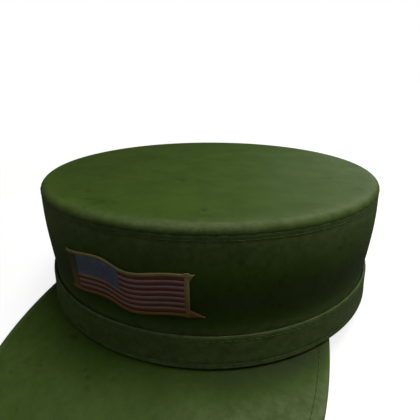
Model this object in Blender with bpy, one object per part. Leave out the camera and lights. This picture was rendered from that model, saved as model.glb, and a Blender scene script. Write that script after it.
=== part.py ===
"""A flat-topped field cap with a visor and a sewn-on flag patch, taken apart into the pieces it is sewn from.

Metres, +Z up. The origin is the centre of the head opening, in the plane of the band's lower edge.
The visor points along -Y, and an azimuth is measured from there, positive towards the wearer's left (+X).
"""

import bmesh
import bpy
from math import cos, pi, radians, sin, sqrt, tan

# Driving dimensions of the crown
HEAD_RADIUS = 0.0935          # inside of the sweatband, off the head and round: a head of 58 to 59 cm
CROWN_HEIGHT = 0.0647         # lower edge of the band to the top of the crown
RIM_RADIUS = 0.0035           # rounding where the top panel turns down into the wall
BAND_HEIGHT = 0.0160
SWEATBAND_HEIGHT = 0.0300
SWEATBAND_LIFT = 0.0006       # the sweatband stops this far above the lower edge
SIDE_SEAM_AZIMUTH = radians(90.0)
BACK_SEAM_WIDTH = 0.0004      # slit where the ends of the band and of the sweatband meet at the back

# Cloth and stiffener thicknesses
GAP = 0.0003                  # clearance between layers that lie on each other
WALL_CLOTH = 0.0008
WALL_STIFFENER = 0.0006
LINING_CLOTH = 0.0007
SWEATBAND_CLOTH = 0.0012
BAND_CLOTH = 0.0015           # a strip of the wall's cloth, folded double
BAND_EDGE_CHAMFER = 0.0005
TOP_CLOTH = 0.0008
TOP_STIFFENER = 0.0006
SEAM_TAPE = 0.0005
SEAM_TAPE_WIDTH = 0.0120
THREAD = 0.0005               # diameter of the sewing thread
EDGE_STITCH_INSET = 0.0022    # rows of stitching stand this far in from the edge they hold

# The visor
VISOR_SLOPE = radians(15.0)
VISOR_SPREAD = radians(53.10)  # azimuth where the visor's sides meet the band
VISOR_PROJECTION = 0.0622     # how far the visor's front stands out from the band, seen from above
VISOR_SIDES_END = 0.0353      # the visor's sides run straight up to this far behind the band's front
VISOR_ROUNDNESS = 2.4         # exponent of the outline's curve: 2 is an ellipse, more is squarer
VISOR_CLOTH = 0.0006
VISOR_BOARD = 0.0020
VISOR_TURNING = 0.0012        # how far the cover's turned edge stands outside the board
VISOR_TONGUE = 0.0100         # seam allowance that goes up between the crown and the sweatband
VISOR_STITCH_INSET = 0.0050
VISOR_SWEEP_SPARE = radians(23.0)  # layers are swept this far past the visor's sides before its plan cuts them

# The flag patch, measured along the wall, its hoist at the wearer's right
PATCH_WIDTH = 0.0595
PATCH_HEIGHT = 0.0203
PATCH_AZIMUTH = radians(-3.75)
PATCH_MIDDLE_Z = 0.0355
PATCH_RIPPLE = (              # crests and troughs: (share of the width from the hoist, height)
    (0.00, -0.0006),
    (0.36, 0.0020),
    (0.59, -0.0018),
    (0.90, 0.0003),
    (1.00, 0.0001),
)
PATCH_BORDER_WIDTH = 0.0019
PATCH_HOIST_WIDTH = 0.0066
PATCH_LOWER_TIP = 0.0055      # how far the fly's lower corner is drawn out
PATCH_UPPER_TIP = 0.0018
PATCH_BACKING = 0.0005
PATCH_EMBROIDERY = 0.0005
PATCH_BORDER_RISE = 0.0012
CANTON_WIDTH = 0.0240
STRIPES = 13
CANTON_STRIPES = 7            # stripes that end at the canton

# Facets
RING_STEPS = 72
RIM_STEPS = 6
OUTLINE_STEPS = 44
PATCH_COLUMNS = 24

# Radii of the layers, from the head outwards
sweatband_out = HEAD_RADIUS + SWEATBAND_CLOTH
under_tongue_in = sweatband_out + GAP
under_tongue_out = under_tongue_in + VISOR_CLOTH
top_tongue_in = under_tongue_out + GAP
top_tongue_out = top_tongue_in + VISOR_CLOTH
stiffener_in = top_tongue_out + GAP
stiffener_out = stiffener_in + WALL_STIFFENER
wall_in = stiffener_out + GAP
wall_out = wall_in + WALL_CLOTH
band_in = wall_out + GAP
band_out = band_in + BAND_CLOTH
lining_out = stiffener_in - GAP
lining_in = lining_out - LINING_CLOTH
tape_out = lining_in - GAP
tape_in = tape_out - SEAM_TAPE

# Heights of the layers under the top, from the top down
rim_bottom = CROWN_HEIGHT - RIM_RADIUS
wall_top = rim_bottom - GAP
top_stiffener_high = CROWN_HEIGHT - TOP_CLOTH - GAP
top_stiffener_low = top_stiffener_high - TOP_STIFFENER
top_lining_high = top_stiffener_low - GAP
top_lining_low = top_lining_high - LINING_CLOTH
inner_wall_top = top_lining_low - GAP
top_inner_radius = wall_out - RIM_RADIUS

# Plan of the visor, measured from the origin
visor_half_width = band_out * sin(VISOR_SPREAD)
visor_sides_end = band_out - VISOR_SIDES_END
visor_reach = band_out + VISOR_PROJECTION

# Heights of the visor's layers where they pass under the crown, from the top down
visor_top = -GAP
board_top = visor_top - VISOR_CLOTH - GAP
under_top = board_top - VISOR_BOARD - GAP
under_bottom = under_top - VISOR_CLOTH

patch_surface = wall_out + GAP
embroidery_surface = patch_surface + PATCH_BACKING + GAP


def clear_scene():
    for old in list(bpy.data.objects):
        bpy.data.objects.remove(old)


def finish(name, colour, roughness=0.9, metallic=0.0):
    """One material for a sub-part."""
    material = bpy.data.materials.new(name)
    material.use_nodes = True
    shader = material.node_tree.nodes["Principled BSDF"]
    shader.inputs["Base Color"].default_value = (*colour, 1.0)
    shader.inputs["Roughness"].default_value = roughness
    shader.inputs["Metallic"].default_value = metallic
    return material


OLIVE_CLOTH = (0.048, 0.085, 0.017)
OLIVE_LINING = (0.060, 0.090, 0.028)
OLIVE_TAPE = (0.040, 0.066, 0.018)
OLIVE_THREAD = (0.050, 0.080, 0.022)
STIFFENER_WHITE = (0.62, 0.62, 0.58)
BOARD_GREY = (0.20, 0.20, 0.19)
FLAG_BLUE = (0.035, 0.045, 0.110)
FLAG_RED = (0.190, 0.030, 0.025)
GOLD_BORDER = (0.300, 0.200, 0.060)
TWILL_WHITE = (0.45, 0.43, 0.38)


def add_object(name, bm, colour, parent, roughness=0.9, sharp=radians(30)):
    """Turns a bmesh into a named sub-part under its parent."""
    bmesh.ops.recalc_face_normals(bm, faces=bm.faces)
    mesh = bpy.data.meshes.new(name)
    bm.to_mesh(mesh)
    bm.free()
    mesh.shade_smooth()
    mesh.set_sharp_from_angle(angle=sharp)
    mesh.materials.append(finish(name, colour, roughness))
    obj = bpy.data.objects.new(name, mesh)
    obj.parent = parent
    bpy.context.scene.collection.objects.link(obj)
    return obj


def add_helper(name, bm):
    """A cutter: never rendered, and no part of the cap."""
    helper = add_object(name, bm, BOARD_GREY, None)
    helper.hide_render = True
    helper.display_type = "WIRE"
    return helper


def add_group(name):
    group = bpy.data.objects.new(name, None)
    bpy.context.scene.collection.objects.link(group)
    return group


def at(radius, azimuth, z):
    """A point from its radius, its azimuth from the front and its height."""
    return (radius * sin(azimuth), -radius * cos(azimuth), z)


def swept(profile, start, stop):
    """A closed profile of (radius, z) points, swept about the Z axis from one azimuth to another."""
    bm = bmesh.new()
    corners = [bm.verts.new(at(radius, start, z)) for radius, z in profile]
    first = bm.faces.new(corners)
    steps = max(2, round((stop - start) / (2 * pi) * RING_STEPS))
    bmesh.ops.spin(bm, geom=[first, *first.edges, *first.verts], cent=(0, 0, 0), axis=(0, 0, 1),
                   angle=stop - start, steps=steps, use_merge=False, use_duplicate=False)
    return bm


def turned(profile):
    """A closed profile of (radius, z) points, turned right round the Z axis."""
    bm = bmesh.new()
    corners = [bm.verts.new(at(radius, 0.0, z)) for radius, z in profile]
    edges = [bm.edges.new((a, b)) for a, b in zip(corners, corners[1:] + corners[:1])]
    bmesh.ops.spin(bm, geom=corners + edges, cent=(0, 0, 0), axis=(0, 0, 1),
                   angle=2 * pi, steps=RING_STEPS, use_merge=True, use_duplicate=False)
    return bm


def turned_disc(outline):
    """A disc: an outline of (radius, z) points that starts and ends on the Z axis, turned right round it."""
    bm = bmesh.new()
    corners = [bm.verts.new(at(radius, 0.0, z)) for radius, z in outline]
    edges = [bm.edges.new(pair) for pair in zip(corners, corners[1:])]
    bmesh.ops.spin(bm, geom=corners + edges, cent=(0, 0, 0), axis=(0, 0, 1),
                   angle=2 * pi, steps=RING_STEPS, use_merge=True, use_duplicate=False)
    bmesh.ops.remove_doubles(bm, verts=bm.verts, dist=1e-6)
    return bm


def rectangle(inside, outside, low, high):
    return [(inside, low), (outside, low), (outside, high), (inside, high)]


def arc(centre_radius, centre_z, size, start, stop, steps):
    """Points of an arc in the (radius, z) plane, its angle measured from straight up towards the outside."""
    angles = [start + (stop - start) * i / steps for i in range(steps + 1)]
    return [(centre_radius + size * sin(a), centre_z + size * cos(a)) for a in angles]


def thread_section(radius, z):
    """A thread's square section, stood on its corner."""
    half = THREAD / 2
    return [(radius - half, z), (radius, z - half), (radius + half, z), (radius, z + half)]


# Crown

def make_crown_top(parent):
    rim = arc(top_inner_radius, rim_bottom, RIM_RADIUS, 0.0, pi / 2, RIM_STEPS)
    inner = arc(top_inner_radius, rim_bottom, RIM_RADIUS - TOP_CLOTH, pi / 2, 0.0, RIM_STEPS)
    outline = [(0.0, CROWN_HEIGHT), *rim, *inner, (0.0, CROWN_HEIGHT - TOP_CLOTH)]
    add_object("crown_top", turned_disc(outline), OLIVE_CLOTH, parent)


def make_disc(name, radius, span, colour, parent):
    low, high = span
    outline = [(0.0, high), (radius, high), (radius, low), (0.0, low)]
    add_object(name, turned_disc(outline), colour, parent)


def outermost(profile):
    return max(radius for radius, _ in profile)


def make_wall_layer(name, profile, colour, parent):
    """A front and a back panel that meet at the side seams."""
    half_seam = GAP / 2 / outermost(profile)
    seam, back = SIDE_SEAM_AZIMUTH - half_seam, SIDE_SEAM_AZIMUTH + half_seam
    add_object(f"front_{name}", swept(profile, -seam, seam), colour, parent)
    add_object(f"back_{name}", swept(profile, back, 2 * pi - back), colour, parent)


def make_open_ring(name, profile, colour, parent):
    """A strip round the crown whose ends meet at the centre of the back."""
    half_seam = BACK_SEAM_WIDTH / 2 / outermost(profile)
    add_object(name, swept(profile, -pi + half_seam, pi - half_seam), colour, parent)


def make_crown(parent):
    make_crown_top(parent)
    stiffener_span = (top_stiffener_low, top_stiffener_high)
    make_disc("top_stiffener", top_inner_radius, stiffener_span, STIFFENER_WHITE, parent)
    make_disc("top_lining", top_inner_radius, (top_lining_low, top_lining_high), OLIVE_LINING, parent)
    lining_low = VISOR_TONGUE + GAP
    wall = rectangle(wall_in, wall_out, 0.0, wall_top)
    stiffener = rectangle(stiffener_in, stiffener_out, 0.0, inner_wall_top)
    lining = rectangle(lining_in, lining_out, lining_low, inner_wall_top)
    make_wall_layer("wall", wall, OLIVE_CLOTH, parent)
    make_wall_layer("wall_stiffener", stiffener, STIFFENER_WHITE, parent)
    make_wall_layer("wall_lining", lining, OLIVE_LINING, parent)
    tape_high = inner_wall_top
    tape_low = tape_high - SEAM_TAPE_WIDTH
    crown_tape = turned(rectangle(tape_in, tape_out, tape_low, tape_high))
    add_object("crown_seam_tape", crown_tape, OLIVE_TAPE, parent)
    side_tape_half = SEAM_TAPE_WIDTH / 2 / tape_out
    for side, azimuth in (("left", SIDE_SEAM_AZIMUTH), ("right", -SIDE_SEAM_AZIMUTH)):
        profile = rectangle(tape_in, tape_out, lining_low, tape_low - GAP)
        tape = swept(profile, azimuth - side_tape_half, azimuth + side_tape_half)
        add_object(f"{side}_seam_tape", tape, OLIVE_TAPE, parent)


def make_bands(parent):
    chamfer = BAND_EDGE_CHAMFER
    band = [(band_in, 0.0), (band_out, 0.0), (band_out, BAND_HEIGHT - chamfer),
            (band_out - chamfer, BAND_HEIGHT), (band_in, BAND_HEIGHT)]
    make_open_ring("outer_band", band, OLIVE_CLOTH, parent)
    sweatband = rectangle(HEAD_RADIUS, sweatband_out, SWEATBAND_LIFT, SWEATBAND_LIFT + SWEATBAND_HEIGHT)
    make_open_ring("sweatband", sweatband, OLIVE_LINING, parent)


def make_crown_threads(parent):
    stand_off = THREAD / 2 + GAP
    on_band, on_wall, in_sweatband = band_out + stand_off, wall_out + stand_off, HEAD_RADIUS - stand_off
    rows = {
        "band_upper_thread": thread_section(on_band, BAND_HEIGHT - EDGE_STITCH_INSET),
        "band_lower_thread": thread_section(on_band, EDGE_STITCH_INSET),
        "rim_thread": thread_section(on_wall, wall_top - EDGE_STITCH_INSET),
        "sweatband_thread": thread_section(in_sweatband, SWEATBAND_LIFT + EDGE_STITCH_INSET),
    }
    for name, section in rows.items():
        add_object(name, turned(section), OLIVE_THREAD, parent, sharp=pi)


# Visor

def visor_outline(inset):
    """Plan of the visor as (x, forward) points, from the wearer's right side round the front to the left."""
    half_width = visor_half_width - inset
    depth = visor_reach - visor_sides_end - inset
    power = 2 / VISOR_ROUNDNESS
    points = []
    for i in range(OUTLINE_STEPS + 1):
        angle = pi * i / OUTLINE_STEPS
        across, ahead = -cos(angle), sin(angle)
        side = 1 if across > 0 else -1
        points.append((side * half_width * abs(across) ** power,
                       visor_sides_end + depth * max(ahead, 0.0) ** power))
    return points


def visor_cutter(name, inset):
    """A prism of the visor's plan that reaches back under the crown."""
    back = HEAD_RADIUS * cos(VISOR_SPREAD + VISOR_SWEEP_SPARE) / 2
    plan = visor_outline(inset)
    plan = [(plan[0][0], back), *plan, (plan[-1][0], back)]
    low, high = under_bottom - visor_reach, CROWN_HEIGHT
    bm = bmesh.new()
    base = bm.faces.new([bm.verts.new((x, -forward, low)) for x, forward in plan])
    grown = bmesh.ops.extrude_face_region(bm, geom=[base])
    bmesh.ops.translate(bm, verts=[v for v in grown["geom"] if isinstance(v, bmesh.types.BMVert)],
                        vec=(0, 0, high - low))
    return add_helper(name, bm)


def slope_drop(radius):
    """How far the visor has fallen at this radius."""
    return max(0.0, radius - band_out) * tan(VISOR_SLOPE)


def visor_layer(tongue, upper, lower):
    """A conical layer of the visor between two heights, with a seam allowance turned up at its inner edge.

    tongue is the allowance's (inside, outside, top), or (inside, None, None) for a layer without one.
    """
    inside, outside, tongue_top = tongue
    far = visor_reach + VISOR_PROJECTION
    upper_run = [(band_out, upper), (far, upper - slope_drop(far))]
    lower_run = [(far, lower - slope_drop(far)), (band_out, lower), (inside, lower)]
    inner_edge = [(inside, upper)]
    if outside is not None:
        inner_edge = [(inside, tongue_top), (outside, tongue_top), (outside, upper)]
    side = VISOR_SPREAD + VISOR_SWEEP_SPARE
    return swept(inner_edge + upper_run + lower_run, -side, side)


def boolean(obj, operation, cutter):
    cut = obj.modifiers.new(f"{operation.lower()}_{cutter.name}", "BOOLEAN")
    cut.operation = operation
    cut.object = cutter
    cut.solver = "EXACT"


def make_visor(parent):
    whole = visor_cutter("visor_plan", 0.0)
    inner = visor_cutter("visor_inner_plan", VISOR_TURNING - GAP)
    board_plan = visor_cutter("visor_board_plan", VISOR_TURNING)
    # The top cover's cloth turns down over the board's edge: a dish with the board's room cut out below.
    room_top = board_top + GAP
    room_layer = visor_layer((top_tongue_in - GAP, None, None), room_top, under_bottom - VISOR_BOARD)
    room = add_helper("visor_room", room_layer)
    boolean(room, "INTERSECT", inner)
    top_tongue = (top_tongue_in, top_tongue_out, VISOR_TONGUE)
    cover_layer = visor_layer(top_tongue, visor_top, under_bottom)
    cover = add_object("visor_top_cover", cover_layer, OLIVE_CLOTH, parent)
    boolean(cover, "INTERSECT", whole)
    boolean(cover, "DIFFERENCE", room)
    board_in = (top_tongue_out + GAP, None, None)
    board_layer = visor_layer(board_in, board_top, board_top - VISOR_BOARD)
    board = add_object("visor_board", board_layer, BOARD_GREY, parent)
    boolean(board, "INTERSECT", board_plan)
    under_tongue = (under_tongue_in, under_tongue_out, VISOR_TONGUE)
    under_layer = visor_layer(under_tongue, under_top, under_bottom)
    under = add_object("visor_under_cover", under_layer, OLIVE_CLOTH, parent)
    boolean(under, "INTERSECT", board_plan)


def make_visor_thread(parent):
    """The row of topstitching just inside the visor's edge, from seam to seam."""
    stand_off = THREAD / 2 + GAP
    curve = bpy.data.curves.new("visor_edge_thread", "CURVE")
    curve.dimensions = "3D"
    curve.bevel_depth = THREAD / 2
    curve.bevel_resolution = 0
    curve.use_fill_caps = True
    points = []
    for x, forward in visor_outline(VISOR_STITCH_INSET):
        radius = sqrt(x * x + forward * forward)
        if radius > band_out + 2 * THREAD:
            points.append((x, -forward, visor_top - slope_drop(radius) + stand_off / cos(VISOR_SLOPE)))
    line = curve.splines.new("POLY")
    line.points.add(len(points) - 1)
    for spot, point in zip(line.points, points):
        spot.co = (*point, 1.0)
    curve.materials.append(finish("visor_edge_thread", OLIVE_THREAD))
    obj = bpy.data.objects.new("visor_edge_thread", curve)
    obj.parent = parent
    bpy.context.scene.collection.objects.link(obj)


# Patch

field_left = PATCH_HOIST_WIDTH - PATCH_WIDTH / 2
field_right = PATCH_WIDTH / 2 - PATCH_BORDER_WIDTH
field_high = PATCH_HEIGHT / 2 - PATCH_BORDER_WIDTH
canton_right = field_left + CANTON_WIDTH
canton_low = field_high - 2 * field_high * CANTON_STRIPES / STRIPES


def ripple(along):
    """Height of the flag's ripple, easing from each crest or trough to the next."""
    share = along / PATCH_WIDTH + 0.5
    for (start, low), (stop, high) in zip(PATCH_RIPPLE, PATCH_RIPPLE[1:]):
        if share <= stop:
            break
    eased = (1 - cos(pi * (share - start) / (stop - start))) / 2
    return low + (high - low) * eased


def drawn_out(along, up):
    """How far a point of the border moves towards the fly: only the fly's two corners do."""
    into_border = max(0.0, along - field_right) / PATCH_BORDER_WIDTH
    above = max(0.0, up - field_high) / PATCH_BORDER_WIDTH
    below = max(0.0, -up - field_high) / PATCH_BORDER_WIDTH
    return into_border * (above * PATCH_UPPER_TIP + below * PATCH_LOWER_TIP)


def patch_point(along, up, radius):
    """A point of the flag, from its distance along the flag and up it, both from the flag's middle."""
    azimuth = PATCH_AZIMUTH + (along + drawn_out(along, up)) / wall_out
    return at(radius, azimuth, PATCH_MIDDLE_Z + up + ripple(along))


def patch_sheet(columns, rows, radius, thickness, keep):
    """A curved sheet on the wall: the flag's cells that keep(along, up) wants, grown outwards."""
    bm = bmesh.new()
    grid = [[bm.verts.new(patch_point(along, up, radius)) for up in rows] for along in columns]
    for i in range(len(columns) - 1):
        for j in range(len(rows) - 1):
            if keep((columns[i] + columns[i + 1]) / 2, (rows[j] + rows[j + 1]) / 2):
                bm.faces.new((grid[i][j], grid[i + 1][j], grid[i + 1][j + 1], grid[i][j + 1]))
    bmesh.ops.delete(bm, geom=[v for v in bm.verts if not v.link_faces], context="VERTS")
    grown = bmesh.ops.extrude_face_region(bm, geom=list(bm.faces), use_keep_orig=True)
    for vert in [v for v in grown["geom"] if isinstance(v, bmesh.types.BMVert)]:
        reach = sqrt(vert.co.x ** 2 + vert.co.y ** 2)
        vert.co.x *= (reach + thickness) / reach
        vert.co.y *= (reach + thickness) / reach
    return bm


def spaced(low, high, steps):
    return [low + (high - low) * i / steps for i in range(steps + 1)]


def everywhere(along, up):
    return True


def in_border(along, up):
    return not (field_left < along < field_right and abs(up) < field_high)


def in_stripes(along, up):
    return along > canton_right or up < canton_low


def make_patch(parent):
    columns = spaced(field_left, field_right, PATCH_COLUMNS)
    border_columns = [-PATCH_WIDTH / 2, *columns, PATCH_WIDTH / 2]
    border_rows = [-PATCH_HEIGHT / 2, -field_high, field_high, PATCH_HEIGHT / 2]
    border = patch_sheet(border_columns, border_rows, patch_surface, PATCH_BORDER_RISE, in_border)
    add_object("patch_border", border, GOLD_BORDER, parent)
    left, right = field_left + GAP, field_right - GAP
    low, high = GAP - field_high, field_high - GAP
    backing_columns = spaced(left, right, PATCH_COLUMNS)
    backing = patch_sheet(backing_columns, [low, high], patch_surface, PATCH_BACKING, everywhere)
    add_object("patch_backing", backing, TWILL_WHITE, parent)
    half = PATCH_COLUMNS // 2
    stripe_columns = spaced(left, canton_right, half) + spaced(canton_right, right, half)[1:]
    stripe_rows = [low, canton_low, high]
    stripes = patch_sheet(stripe_columns, stripe_rows, embroidery_surface, PATCH_EMBROIDERY, in_stripes)
    add_object("patch_stripes", stripes, FLAG_RED, parent)
    canton_columns = spaced(left, canton_right - GAP, half)
    canton_rows = [canton_low + GAP, high]
    canton = patch_sheet(canton_columns, canton_rows, embroidery_surface, PATCH_EMBROIDERY, everywhere)
    add_object("patch_canton", canton, FLAG_BLUE, parent)


def main():
    clear_scene()
    crown, visor, patch = add_group("crown"), add_group("visor"), add_group("patch")
    make_crown(crown)
    make_bands(crown)
    make_crown_threads(crown)
    make_visor(visor)
    make_visor_thread(visor)
    make_patch(patch)


main()
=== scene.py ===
"""The looks of a green field cap: its cloth panels, topstitching and flag patch, in soft studio light."""

from math import atan2, ceil, cos, exp, hypot, pi, radians, sin, tan

import bmesh
import bpy
from mathutils import Matrix, Vector, noise


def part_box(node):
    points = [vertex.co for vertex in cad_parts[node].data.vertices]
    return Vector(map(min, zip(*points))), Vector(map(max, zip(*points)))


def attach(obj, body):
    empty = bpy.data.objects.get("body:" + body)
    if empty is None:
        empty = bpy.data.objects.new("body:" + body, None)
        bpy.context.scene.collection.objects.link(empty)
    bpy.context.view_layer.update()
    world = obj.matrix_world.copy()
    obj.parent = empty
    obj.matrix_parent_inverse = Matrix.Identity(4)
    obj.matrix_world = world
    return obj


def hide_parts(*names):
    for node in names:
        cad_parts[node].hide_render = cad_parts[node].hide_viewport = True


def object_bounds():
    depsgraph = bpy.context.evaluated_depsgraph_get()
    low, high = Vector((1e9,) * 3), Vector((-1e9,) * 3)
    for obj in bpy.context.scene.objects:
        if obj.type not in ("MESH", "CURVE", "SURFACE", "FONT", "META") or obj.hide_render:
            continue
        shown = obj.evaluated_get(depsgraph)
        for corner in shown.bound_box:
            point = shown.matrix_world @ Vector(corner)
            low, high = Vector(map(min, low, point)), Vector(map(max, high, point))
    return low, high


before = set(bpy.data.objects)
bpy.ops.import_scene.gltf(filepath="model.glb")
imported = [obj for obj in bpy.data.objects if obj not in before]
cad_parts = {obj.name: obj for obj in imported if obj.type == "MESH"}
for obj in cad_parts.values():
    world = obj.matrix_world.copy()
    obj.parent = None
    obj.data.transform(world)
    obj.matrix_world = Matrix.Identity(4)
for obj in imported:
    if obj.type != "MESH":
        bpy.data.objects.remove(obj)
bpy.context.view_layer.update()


# Sizes in metres, read from the frame where a node has them

def outer_radius(node):
    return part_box(node)[1][0]


def low_and_high(node):
    low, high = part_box(node)
    return low[2], high[2]


GAP = 0.0003                 # clearance between layers, as in the frame
WALL_CLOTH = 0.0008
TOP_CLOTH = 0.0008
LINING_CLOTH = 0.0007
STIFFENER = 0.0006
BAND_CLOTH = 0.0015
SWEATBAND_CLOTH = 0.0012
TAPE_CLOTH = 0.0005
VISOR_CLOTH = 0.0006
VISOR_BOARD = 0.0020

wall_radius = outer_radius("front_wall")
wall_low, wall_high = low_and_high("front_wall")
band_radius = outer_radius("outer_band")
band_low, band_high = low_and_high("outer_band")
rim_low, crown_high = low_and_high("crown_top")
rim_rounding = crown_high - rim_low

RING_STEPS = 240             # faces in a full turn
SIDE_SEAM = radians(90.0)    # azimuth of the seams between the front and the back wall

# The visor's outline, which the frame gives only as a box
VISOR_SLOPE = radians(15.0)
VISOR_SPREAD = radians(53.10)  # azimuth at which the outline meets the band
VISOR_PROJECTION = 0.0622    # reach in front of the band
VISOR_SIDES_END = 0.0353     # how far behind the band's front the sides start to curve
VISOR_ROUNDNESS = 2.4        # power of that curve
VISOR_TONGUE = 0.0100        # how far the covers run up inside the wall


def at(radius, azimuth, z):
    """A point from its radius, its azimuth from the front (positive to the wearer's left) and its height."""
    return Vector((radius * sin(azimuth), -radius * cos(azimuth), z))


def azimuth_of(point):
    return atan2(point.x, -point.y)


def between(value, low, high):
    """0 below low, 1 above high, and eased between."""
    share = min(1.0, max(0.0, (value - low) / (high - low)))
    return share * share * (3 - 2 * share)


def bump_at(value, middle, width):
    """1 at the middle, falling off to nothing over about twice the width."""
    return exp(-((value - middle) / width) ** 2)


def spaced(low, high, steps):
    return [low + (high - low) * i / steps for i in range(steps + 1)]


# How the cloth gives: every layer at one place moves together, so none cuts into another

WALL_GIVE = 0.0007
WALL_SWELL_LENGTH = 0.042    # distance between one swell of the wall and the next
WALL_HELD_GIVE = 0.2         # share of its give that the rim and the band leave the wall
FREE_ABOVE_BAND = 0.014      # heights over which the wall comes free of them
FREE_BELOW_RIM = 0.012
WALL_BELLY = 0.0009          # the wall swells out below the rim
WALL_BELLY_DEPTH = 0.016     # how far below the wall's top
WALL_BELLY_HEIGHT = 0.018
TOP_GIVE = 0.0006
TOP_SAG = 0.0008
TOP_SWELL_LENGTH = 0.05
TOP_HELD = (0.55, 0.97)      # shares of the wall's radius between which the rim takes hold of the top
VISOR_GIVE = 0.0004
VISOR_SWELL_LENGTH = 0.045
FREE_OF_BAND = 0.02          # distance over which the visor comes free of the band
TOP_NOISE, VISOR_NOISE = 3.1, 7.7  # levels in the noise, so that the two don't swell alike


def wall_give(azimuth, z):
    """How far the wall stands out of round: most between the rim and the band, which hold it."""
    turn = wall_radius / WALL_SWELL_LENGTH
    swell = noise.noise(Vector((turn * sin(azimuth), turn * cos(azimuth), 0.5 * z / WALL_SWELL_LENGTH)))
    above_band = between(z, band_high, band_high + FREE_ABOVE_BAND)
    free = above_band * (1 - between(z, wall_high - FREE_BELOW_RIM, wall_high))
    belly = bump_at(z, wall_high - WALL_BELLY_DEPTH, WALL_BELLY_HEIGHT) * above_band
    return WALL_GIVE * swell * (WALL_HELD_GIVE + (1 - WALL_HELD_GIVE) * free) + WALL_BELLY * belly


def top_give(x, y):
    """How far the top lies below flat: a slight sag, and low swells away from the rim."""
    free = 1 - between(hypot(x, y) / wall_radius, *TOP_HELD)
    swell = noise.noise(Vector((x / TOP_SWELL_LENGTH, y / TOP_SWELL_LENGTH, TOP_NOISE)))
    return (TOP_GIVE * swell - TOP_SAG) * free


def visor_give(x, y):
    """How far the visor lies above its true slope."""
    free = between(hypot(x, y), band_radius, band_radius + FREE_OF_BAND)
    swell = noise.noise(Vector((x / VISOR_SWELL_LENGTH, y / VISOR_SWELL_LENGTH, VISOR_NOISE)))
    return VISOR_GIVE * free * swell


# Shader nodes

def set_values(node, values):
    """Sets a node's sockets, by name, to values that are the same all over."""
    for socket, value in values.items():
        node.inputs[socket].default_value = value


def add_group(name, inputs, outputs):
    """An empty shader node group with named sockets. Returns its tree, input node and output node."""
    tree = bpy.data.node_groups.new(name, "ShaderNodeTree")
    for way, sockets in (("INPUT", inputs), ("OUTPUT", outputs)):
        for socket, kind in sockets.items():
            tree.interface.new_socket(socket, in_out=way, socket_type="NodeSocket" + kind)
    return tree, tree.nodes.new("NodeGroupInput"), tree.nodes.new("NodeGroupOutput")


def add_math(tree, operation, first, second=None, third=None):
    """A Math node. Each value is a number or another node's output."""
    node = tree.nodes.new("ShaderNodeMath")
    node.operation = operation
    for socket, value in zip(node.inputs, (first, second, third)):
        if value is None:
            continue
        if isinstance(value, (int, float)):
            socket.default_value = value
        else:
            tree.links.new(value, socket)
    return node.outputs[0]


def add_noise(tree, vector, scale, detail=3.0, roughness=0.55):
    node = tree.nodes.new("ShaderNodeTexNoise")
    set_values(node, {"Scale": scale, "Detail": detail, "Roughness": roughness})
    tree.links.new(vector, node.inputs["Vector"])
    return node.outputs["Fac"]


def add_ramp(tree, value, low, high, to_low=0.0):
    """Maps a value that goes from low to high onto to_low to 1, eased and clamped."""
    node = tree.nodes.new("ShaderNodeMapRange")
    node.interpolation_type = "SMOOTHSTEP"
    tree.links.new(value, node.inputs["Value"])
    set_values(node, {"From Min": low, "From Max": high, "To Min": to_low, "To Max": 1.0})
    return node.outputs["Result"]


def add_mix(tree, share, first, second, blend="MIX"):
    """Mixes two colours. Each is a colour or another node's output."""
    node = tree.nodes.new("ShaderNodeMix")
    node.data_type = "RGBA"
    node.blend_type = blend
    colour_sockets = [s for s in node.inputs if s.type == "RGBA"]
    for socket, value in zip((node.inputs[0], *colour_sockets), (share, first, second)):
        if isinstance(value, (int, float)):
            socket.default_value = value
        elif isinstance(value, tuple):
            socket.default_value = (*value, 1.0)
        else:
            tree.links.new(value, socket)
    return [s for s in node.outputs if s.type == "RGBA"][0]


def add_shade(tree, colour, shade):
    """A colour darkened by another colour, or by one value from another node."""
    if not isinstance(shade, tuple):
        grey = tree.nodes.new("ShaderNodeCombineColor")
        for socket in grey.inputs:
            tree.links.new(shade, socket)
        shade = grey.outputs[0]
    return add_mix(tree, 1.0, colour, shade, "MULTIPLY")


RIB_WAVER = 0.00035          # how far the twill's ribs wander
WEFT_PITCH = 1.6             # weft yarns to a rib
WEFT_DEPTH = 0.35            # how deep they break the rib into yarns
SLUB_STRETCH = (70.0, 1300.0, 1.0)  # thick and thin yarns lie long across the cloth
RIB_SHADE, FLECK_SHADE, SLUB_SHADE = 0.45, 0.3, 0.4


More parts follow.
